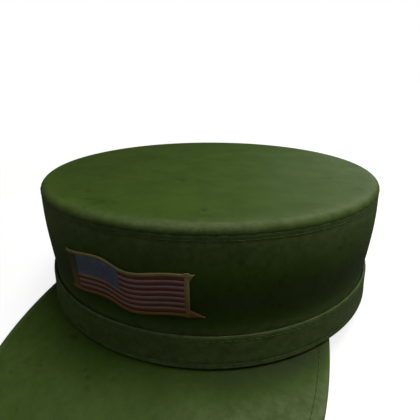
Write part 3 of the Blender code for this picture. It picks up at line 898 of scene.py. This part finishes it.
def make_visor():
    half = VISOR_CLOTH / 2
    roll = (visor_high - visor_low - VISOR_CLOTH) / 2
    top_tongue = wall_radius - WALL_CLOTH - 2 * GAP - STIFFENER - half
    under_tongue = top_tongue - VISOR_CLOTH - GAP
    layers = (
        ("visor_top_cloth", "visor_top_cover", top_tongue, visor_high - half, half, roll),
        ("visor_under_cloth", "visor_under_cover", under_tongue, visor_low + half, VISOR_UNDER_INSET, 0.0),
    )
    for name, node, tongue_radius, level, inset, edge_roll in layers:
        bm = visor_sheet(tongue_radius, level, inset, edge_roll)
        # The visor's cloth gets painted light and shade, and wearing along its edge.
        piece = add_piece(name, bm, cap_cloth, [node], visor_wear_and_painted_light, flat_weave)
        hem = (pi - 1) * edge_roll + VISOR_TURN_UNDER if edge_roll else 0.0
        visor_area(inset, hem)
    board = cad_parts["visor_board"]
    board.data.materials.clear()
    board.data.materials.append(visor_board_sheet)


# Topstitching: rows of separate stitches that bed into the cloth

STITCH_PITCH = 0.0031
STITCH_LENGTH = 0.0026
STITCH_THREAD = 0.00048
STITCH_RISE = 0.1            # share of its thread by which a stitch's middle stands off the cloth
VISOR_STITCH_INSET = 0.0050
VISOR_STITCH_START = 0.001   # distance from the band
SEAM_STITCH_INSET = 0.0024   # rows beside an upright seam
WALL_SEAM_ENDS = (0.0005, 0.0030)  # how far such rows stop short of the cloth's lower and upper edge
BAND_JOIN_ENDS = (0.0030, 0.0030)
SWEATBAND_JOIN_ENDS = (0.0040, 0.0015)
UPRIGHT_STEPS = 24


def make_stitch_form():
    """The shape that every stitch is a stretched copy of."""
    bm = bmesh.new()
    bmesh.ops.create_uvsphere(bm, u_segments=6, v_segments=6, radius=1.0)
    return mesh_from(bm, "stitch form")


stitch_form = make_stitch_form()


def add_stitch(bm, middle, along, out, length, thread):
    """One stitch: a short thread along its row that dives into the cloth at both ends."""
    along = along.normalized()
    across = out.cross(along).normalized()
    out = along.cross(across)
    size = Matrix((across * thread / 2, out * thread / 2, along * length / 2)).transposed().to_4x4()
    stitch = stitch_form.copy()
    stitch.transform(Matrix.Translation(middle) @ size)
    bm.from_mesh(stitch)
    bpy.data.meshes.remove(stitch)


def stitch_row(bm, path, outward):
    """A row of stitches along a path of points. outward(point) is the way the cloth faces."""
    lengths = [(b - a).length for a, b in zip(path, path[1:])]
    count = int(sum(lengths) // STITCH_PITCH)
    step = sum(lengths) / count
    walked, index = 0.0, 0
    for i in range(count):
        goal = (i + 0.5) * step
        while walked + lengths[index] < goal:
            walked += lengths[index]
            index += 1
        start, stop = path[index], path[index + 1]
        middle = start.lerp(stop, (goal - walked) / lengths[index])
        out = outward(middle)
        place = middle + out * STITCH_THREAD * STITCH_RISE
        add_stitch(bm, place, stop - start, out, STITCH_LENGTH, STITCH_THREAD)


def outward_round(point):
    return Vector((point.x, point.y, 0.0)).normalized()


def inward_round(point):
    return -outward_round(point)


def outward_visor(point):
    return (Vector((0, 0, 1)) + outward_round(point) * tan(VISOR_SLOPE)).normalized()


def ring_path(radius, z):
    """A line right round the cap, back to its start."""
    path = [at(radius + wall_give(a, z), a, z) for a in spaced(-pi, pi, RING_STEPS)[:-1]]
    return path + path[:1]


def visor_path(inset):
    """A line on the visor's upper face that keeps a distance from its edge, from side to side."""
    path = []
    for azimuth in spaced(-VISOR_SPREAD, VISOR_SPREAD, 2 * VISOR_COLUMNS):
        radius = outline_radius(azimuth, inset)
        if radius > band_radius + VISOR_STITCH_START:
            point = at(radius, azimuth, visor_high - visor_drop(radius))
            path.append(point + Vector((0, 0, visor_give(point.x, point.y))))
    return path


def add_seam_rows(name, seams, span, ends, radius_at, outward):
    """Rows of stitches straight up the cap, one on each side of every seam."""
    aside = SEAM_STITCH_INSET / wall_radius
    heights = spaced(span[0] + ends[0], span[1] - ends[1], UPRIGHT_STEPS)
    bm = bmesh.new()
    for azimuth in [seam + side * aside for seam in seams for side in (-1, 1)]:
        path = [at(radius_at(z) + wall_give(azimuth, z), azimuth, z) for z in heights]
        stitch_row(bm, path, outward)
    add_piece(name, bm, cap_thread)


def make_topstitching():
    sweat_inner = outer_radius("sweatband") - SWEATBAND_CLOTH
    sweat_span = low_and_high("sweatband")
    low_row, high_row = band_rows
    rows = (
        ("band_lower", ring_path(band_radius + band_shape(low_row), low_row), outward_round),
        ("band_upper", ring_path(band_radius + band_shape(high_row), high_row), outward_round),
        ("rim", ring_path(wall_radius + wall_shape(rim_row), rim_row), outward_round),
        ("sweatband", ring_path(sweat_inner, sweat_span[0] + EDGE_STITCH_INSET), inward_round),
        ("visor_edge", visor_path(VISOR_STITCH_INSET), outward_visor),
    )
    for name, path, outward in rows:
        bm = bmesh.new()
        stitch_row(bm, path, outward)
        add_piece(name + "_stitches", bm, cap_thread, [name + "_thread"])
    add_seam_rows("side_seam_stitches", (-SIDE_SEAM, SIDE_SEAM), (band_high, wall_high), WALL_SEAM_ENDS,
                  lambda z: wall_radius, outward_round)
    add_seam_rows("band_join_stitches", (pi,), (band_low, band_high), BAND_JOIN_ENDS,
                  lambda z: band_radius + band_shape(z), outward_round)
    add_seam_rows("sweatband_join_stitches", (pi,), sweat_span, SWEATBAND_JOIN_ENDS,
                  lambda z: sweat_inner, inward_round)


# The flag patch, sewn on the front of the wall

PATCH_WIDTH = 0.0595
PATCH_HEIGHT = 0.0203
PATCH_AZIMUTH = radians(-3.75)
PATCH_MIDDLE_Z = 0.0355
PATCH_RIPPLE = (             # crests and troughs: (share of the width from the hoist, height)
    (0.00, -0.0006),
    (0.36, 0.0020),
    (0.59, -0.0018),
    (0.90, 0.0003),
    (1.00, 0.0001),
)
PATCH_BACKING = 0.0005
BACKING_CLOTH = 0.8          # share of that depth that the cloth fills
BACKING_MARGIN = 0.0006      # the backing stops this far inside the edge
BACKING_COLUMNS, BACKING_ROWS = 60, 20
PATCH_BORDER_WIDTH = 0.0019
PATCH_HOIST_WIDTH = 0.0066
PATCH_LOWER_TIP = 0.0055     # the border's corners are drawn out at the fly
PATCH_UPPER_TIP = 0.0018
TIP_BREADTH = 1.7            # at its root, as a share of the border's width
TIP_POINT = 0.0003           # breadth left at its end
TIP_DROOP = 0.0002
CANTON_WIDTH = 0.0240
STRIPES = 13
CANTON_STRIPES = 7
STAR_ROWS = 9
STARS_IN_ROW = 6             # in a long row
STAR_RADIUS = 0.00046
STAR_WAIST = 0.45            # share of that radius between two points
STAR_RISE = 0.00022

FLAG_THREAD = 0.00042
BORDER_THREAD = FLAG_THREAD * 1.25
SATIN_STEP = 0.85 * FLAG_THREAD  # from one stitch to the next
FILL_STEP = 0.82 * FLAG_THREAD
FILL_STITCH = 0.0042
STITCH_OVERRUN = 1.12        # each stitch is this much longer than its place
STRIPE_SLANT, BORDER_SLANT = 0.0003, 0.0002
INNER_MARGIN, OUTER_MARGIN = 0.0002, 0.0001
FLAT_LIFT = PATCH_BACKING + 0.0001  # of the stripes, canton and heading off the wall
RAISED_LIFT = PATCH_BACKING + 0.0002  # of the border and the stars

half_width, half_height = PATCH_WIDTH / 2, PATCH_HEIGHT / 2
field_left = PATCH_HOIST_WIDTH - half_width
field_right = half_width - PATCH_BORDER_WIDTH
field_high = half_height - PATCH_BORDER_WIDTH
stripe_height = 2 * field_high / STRIPES
canton_right = field_left + CANTON_WIDTH
canton_low = field_high - CANTON_STRIPES * stripe_height


def ripple(along):
    """Height of the flag's ripple, easing from each crest or trough to the next."""
    share = min(1.0, max(0.0, along / PATCH_WIDTH + 0.5))
    for (start, low), (stop, high) in zip(PATCH_RIPPLE, PATCH_RIPPLE[1:]):
        if share <= stop:
            break
    return low + (high - low) * (1 - cos(pi * (share - start) / (stop - start))) / 2


def flag_point(along, up, lift):
    """A point of the flag, from its distance along the flag and up it, and how far it stands off the wall."""
    azimuth, z = PATCH_AZIMUTH + along / wall_radius, PATCH_MIDDLE_Z + up + ripple(along)
    return at(wall_radius + GAP / 2 + wall_give(azimuth, z) + lift, azimuth, z)


def flag_stitch(bm, start, stop, lift=FLAT_LIFT, thread=FLAG_THREAD):
    """One embroidery stitch between two places on the flag."""
    a, b = flag_point(*start, lift), flag_point(*stop, lift)
    middle = (a + b) / 2
    add_stitch(bm, middle, b - a, outward_round(middle), (b - a).length * STITCH_OVERRUN, thread)


def make_flag_backing():
    bm = bmesh.new()
    bmesh.ops.create_grid(bm, x_segments=BACKING_COLUMNS, y_segments=BACKING_ROWS, size=0.5)
    width, height = PATCH_WIDTH - 2 * BACKING_MARGIN, PATCH_HEIGHT - 2 * BACKING_MARGIN
    for vert in bm.verts:
        vert.co = flag_point(vert.co.x * width, vert.co.y * height, PATCH_BACKING / 2)
    bmesh.ops.recalc_face_normals(bm, faces=bm.faces)
    bmesh.ops.solidify(bm, geom=list(bm.faces), thickness=PATCH_BACKING * BACKING_CLOTH)
    piece = add_piece("patch_backing_cloth", bm, flag_backing, ["patch_backing"])


def make_flag_stripes():
    """Satin stitches across each stripe, in red and white by turns from the top."""
    colours = (bmesh.new(), bmesh.new())
    for stripe in range(STRIPES):
        high = field_high - stripe * stripe_height
        low = high - stripe_height
        left = canton_right if stripe < CANTON_STRIPES else field_left
        for along in spaced(left, field_right, int((field_right - left) / SATIN_STEP)):
            flag_stitch(colours[stripe % 2], (along, low), (along + STRIPE_SLANT, high))
    add_piece("patch_red_embroidery", colours[0], flag_red, ["patch_stripes"])
    add_piece("patch_white_embroidery", colours[1], flag_white, ["patch_stripes"])


def make_flag_canton():
    """Rows of fill stitches, each row a third of a stitch along from the last."""
    bm = bmesh.new()
    rows = int((field_high - canton_low) / FILL_STEP)
    for row, up in enumerate(spaced(canton_low + INNER_MARGIN, field_high - OUTER_MARGIN, rows)):
        along = field_left - FILL_STITCH * (row % 3) / 3
        while along < canton_right:
            start, stop = max(along, field_left), min(along + FILL_STITCH, canton_right)
            if stop - start > FLAG_THREAD:
                flag_stitch(bm, (start, up), (stop, up))
            along += FILL_STITCH
    add_piece("patch_canton_embroidery", bm, flag_blue, ["patch_canton"])


def add_star(bm, along, up):
    """A raised star of five points."""
    corners = []
    for corner in range(10):
        reach = STAR_RADIUS if corner % 2 == 0 else STAR_RADIUS * STAR_WAIST
        angle = pi / 2 + corner * pi / 5
        place = (along + reach * cos(angle), up + reach * sin(angle))
        corners.append(bm.verts.new(flag_point(*place, RAISED_LIFT)))
    grown = bmesh.ops.extrude_face_region(bm, geom=[bm.faces.new(corners)], use_keep_orig=True)
    for vert in [v for v in grown["geom"] if isinstance(v, bmesh.types.BMVert)]:
        vert.co += outward_round(vert.co) * STAR_RISE


def make_flag_stars():
    """Rows of small stars on the canton, long rows and short rows by turns."""
    bm = bmesh.new()
    for row in range(STAR_ROWS):
        up = canton_low + (field_high - canton_low) * (row + 1) / (STAR_ROWS + 1)
        short = row % 2
        for i in range(STARS_IN_ROW - short):
            add_star(bm, field_left + CANTON_WIDTH * (2 * i + 1 + short) / (2 * STARS_IN_ROW), up)
    add_piece("patch_stars", bm, flag_star)


def make_flag_border():
    """Overlocked edge: close stitches across the border, and corners drawn out at the fly."""
    bm = bmesh.new()

    def border_stitch(start, stop):
        flag_stitch(bm, start, stop, RAISED_LIFT, BORDER_THREAD)

    for along in spaced(-half_width, half_width, int(PATCH_WIDTH / SATIN_STEP)):
        for side in (-1, 1):
            inner, outer = side * (field_high + INNER_MARGIN), side * (half_height - OUTER_MARGIN)
            border_stitch((along, inner), (along + BORDER_SLANT, outer))
    for up in spaced(-half_height, half_height, int(PATCH_HEIGHT / SATIN_STEP)):
        border_stitch((field_right, up), (half_width, up + BORDER_SLANT))
    for tip, side in ((PATCH_LOWER_TIP, -1), (PATCH_UPPER_TIP, 1)):
        for share in spaced(0.0, 1.0, int(tip / SATIN_STEP)):
            along = half_width + tip * share
            breadth = PATCH_BORDER_WIDTH * TIP_BREADTH * (1 - share) + TIP_POINT
            edge = side * (half_height - TIP_DROOP * share)
            border_stitch((along, edge), (along, edge - side * breadth))
    add_piece("patch_border_stitches", bm, flag_gold, ["patch_border"])


def make_flag_heading():
    """The broad heading along the hoist: long stitches across it."""
    bm = bmesh.new()
    left = PATCH_BORDER_WIDTH / 2 - half_width
    for up in spaced(-field_high, field_high, int(2 * field_high / SATIN_STEP)):
        flag_stitch(bm, (left, up), (field_left, up + BORDER_SLANT))
    add_piece("patch_heading_embroidery", bm, flag_heading)


def make_patch():
    make_flag_backing()
    make_flag_stripes()
    make_flag_canton()
    make_flag_stars()
    make_flag_border()
    make_flag_heading()


# Studio: floor, light and camera

WHITE = (1.0, 1.0, 1.0)
FLOOR_HALF_SIDE = 40.0
FLOOR_CLEARANCE = 0.0004
FLOOR_COLOUR = (0.35, 0.35, 0.35)
FLOOR_BOUNCE = (0.08, 0.08, 0.08)  # what the floor throws back up at the cap
FLOOR_GLOW = 0.80            # near the cap, so that its shadow shows
FLOOR_WHITENS = (0.25, 1.0)  # distances from the cap over which the floor turns white
WORLD_LIGHT = 0.03
CROWN_MIDDLE = Vector((0.0, 0.0, crown_high))
LAMPS = (
    # name, azimuth from the front, elevation, distance, size, power, colour
    ("key", radians(132), radians(78), 1.6, 0.7, 13.6, WHITE),
    ("back", radians(158), radians(30), 0.5, 0.35, 0.32, WHITE),
    ("side", radians(86), radians(47), 0.3, 0.16, 0.24, (1.0, 0.98, 0.72)),
    ("left", radians(-62), radians(0), 0.6, 0.12, 0.10, (1.0, 1.0, 0.35)),
    ("front", radians(32), radians(53), 0.5, 0.3, 0.34, WHITE),
)
CAMERA_AZIMUTH = radians(18.0)
CAMERA_DISTANCE = 0.1943     # from the cap's axis, along the ground
CAMERA_HEIGHT = 0.1075
CAMERA_PITCH = radians(21.085)
CAMERA_LENS = 25.714         # in mm
CAMERA_SENSOR = 36.0         # in mm
CAMERA_CLIP = (0.005, 100.0)


def camera_ray(tree):
    return tree.nodes.new("ShaderNodeLightPath").outputs["Is Camera Ray"]


def make_floor():
    """A pale floor that the cap rests on, touching the visor's front and the band's back."""
    front = Vector((0.0, -(band_radius + VISOR_PROJECTION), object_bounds()[0][2]))
    back = Vector((0.0, band_radius, band_low))
    tilt = atan2(back.z - front.z, back.y - front.y)
    middle = (front + back) / 2 - Vector((0, 0, FLOOR_CLEARANCE))
    bm = bmesh.new()
    bmesh.ops.create_grid(bm, x_segments=1, y_segments=1, size=FLOOR_HALF_SIDE)
    bmesh.ops.rotate(bm, verts=bm.verts, cent=(0, 0, 0), matrix=Matrix.Rotation(tilt, 3, "X"))
    bmesh.ops.translate(bm, verts=bm.verts, vec=middle)
    mesh = mesh_from(bm, "floor")
    material, tree, shader = new_material("Floor")
    set_values(shader, {"Roughness": 0.9, "Specular IOR Level": 0.0, "Emission Color": (*WHITE, 1.0)})
    seen = camera_ray(tree)
    tree.links.new(add_mix(tree, seen, FLOOR_BOUNCE, FLOOR_COLOUR), shader.inputs["Base Color"])
    away = tree.nodes.new("ShaderNodeVectorMath")
    away.operation = "LENGTH"
    tree.links.new(object_vector(tree), away.inputs[0])
    glow = add_ramp(tree, away.outputs["Value"], *FLOOR_WHITENS, FLOOR_GLOW)
    tree.links.new(add_math(tree, "MULTIPLY", seen, glow), shader.inputs["Emission Strength"])
    mesh.materials.append(material)
    place_object("floor", mesh)


def make_world():
    """White to the camera, and a low even light on the cap."""
    world = bpy.data.worlds.new("Studio")
    bpy.context.scene.world = world
    world.use_nodes = True
    tree = world.node_tree
    background = tree.nodes["Background"]
    set_values(background, {"Color": (*WHITE, 1.0)})
    strength = add_math(tree, "MULTIPLY_ADD", camera_ray(tree), 1.0 - WORLD_LIGHT, WORLD_LIGHT)
    tree.links.new(strength, background.inputs["Strength"])


def make_lamps():
    """Soft lamps round the cap, each aimed at the crown."""
    for name, azimuth, elevation, distance, size, power, colour in LAMPS:
        lamp = bpy.data.lights.new(name, "AREA")
        lamp.shape = "DISK"
        lamp.size = size
        lamp.energy = power
        lamp.color = colour
        holder = place_object(name, lamp)
        holder.visible_camera = False
        away = at(cos(elevation), azimuth, sin(elevation))
        holder.location = CROWN_MIDDLE + away * distance
        holder.rotation_euler = away.to_track_quat("Z", "Y").to_euler()


def make_camera():
    camera = bpy.data.cameras.new("camera")
    camera.lens = CAMERA_LENS
    camera.sensor_width = CAMERA_SENSOR
    camera.clip_start, camera.clip_end = CAMERA_CLIP
    holder = place_object("camera", camera)
    holder.location = at(CAMERA_DISTANCE, CAMERA_AZIMUTH, CAMERA_HEIGHT)
    holder.rotation_euler = (pi / 2 - CAMERA_PITCH, 0.0, CAMERA_AZIMUTH)
    bpy.context.scene.camera = holder


make_walls()
make_bands()
make_top()
make_visor()
make_topstitching()
make_patch()
make_floor()
make_world()
make_lamps()
make_camera()
bpy.context.scene.view_settings.view_transform = "Standard"
